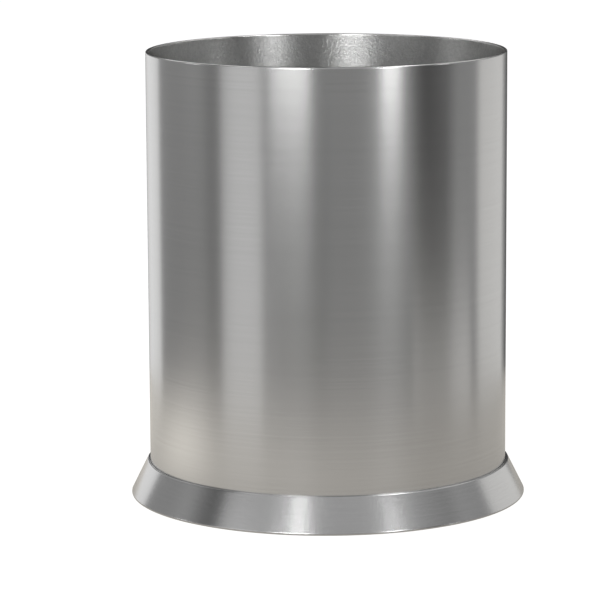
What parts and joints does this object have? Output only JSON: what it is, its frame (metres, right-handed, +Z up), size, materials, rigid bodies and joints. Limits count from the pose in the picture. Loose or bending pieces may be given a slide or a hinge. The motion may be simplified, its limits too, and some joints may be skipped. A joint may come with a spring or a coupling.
{
  "type": "wastebasket",
  "caption": "Open round wastebasket of brushed sheet steel: rolled shell with a folded rim, pressed bottom pan, flared base skirt and rubber foot pads.",
  "frame": {"origin": "on the floor under the middle of the basket, level with the underside of the foot pads", "axes": "+Z up along the basket's own axis, out of its mouth; +X and +Y are alike on the round body, and the four foot pads stand halfway between them"},
  "size_m": [0.2148, 0.2148, 0.2424],
  "materials": {
    "shell_steel": "stainless steel sheet, fine brushing around the outside, satin inside",
    "skirt_steel": "stainless steel sheet, lightly brushed around, brighter polished folds",
    "pan_steel": "plain mill-finish stainless steel sheet, satin",
    "pad_rubber": "matt black rubber"
  },
  "bodies": {
    "root": {"shell": "shell_steel", "base_skirt": "skirt_steel", "bottom_pan": "pan_steel", "foot_pad_1": "pad_rubber", "foot_pad_2": "pad_rubber", "foot_pad_3": "pad_rubber", "foot_pad_4": "pad_rubber"}
  },
  "joints": []
}
